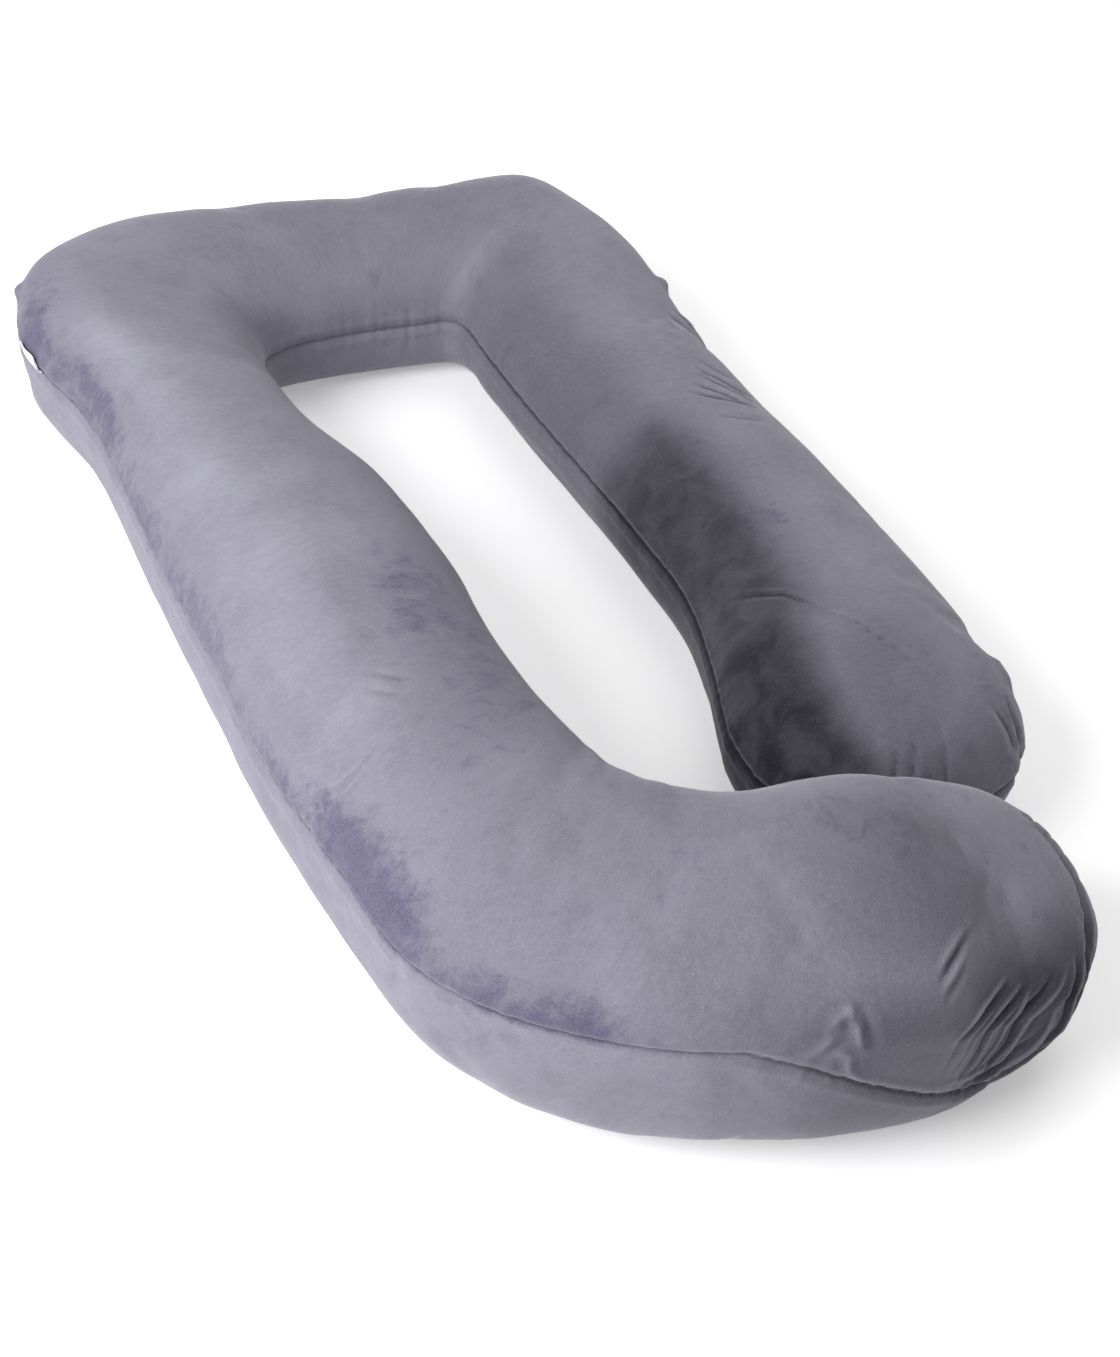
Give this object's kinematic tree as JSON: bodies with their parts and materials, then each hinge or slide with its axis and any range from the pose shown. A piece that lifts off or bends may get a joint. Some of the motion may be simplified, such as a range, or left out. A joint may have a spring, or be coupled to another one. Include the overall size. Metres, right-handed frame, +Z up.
{
  "type": "pregnancy pillow",
  "caption": "Full-length filled pregnancy pillow, one tube bent round the sleeper with a curled foot end, a side seam and a blank sewn-in label.",
  "frame": {"origin": "on the floor, under the middle of the part's box", "axes": "+Y towards the head end, +X to the side of the back arm, +Z up; the pillow lies on its back"},
  "size_m": [0.7568, 1.4532, 0.2483],
  "materials": {
    "velvet": "short-pile brushed velvet, matt with a soft pale sheen at its edges",
    "label_tape": "smooth woven tape, white"
  },
  "bodies": {
    "root": {"pillow": "velvet", "side_label": "label_tape"}
  },
  "joints": []
}
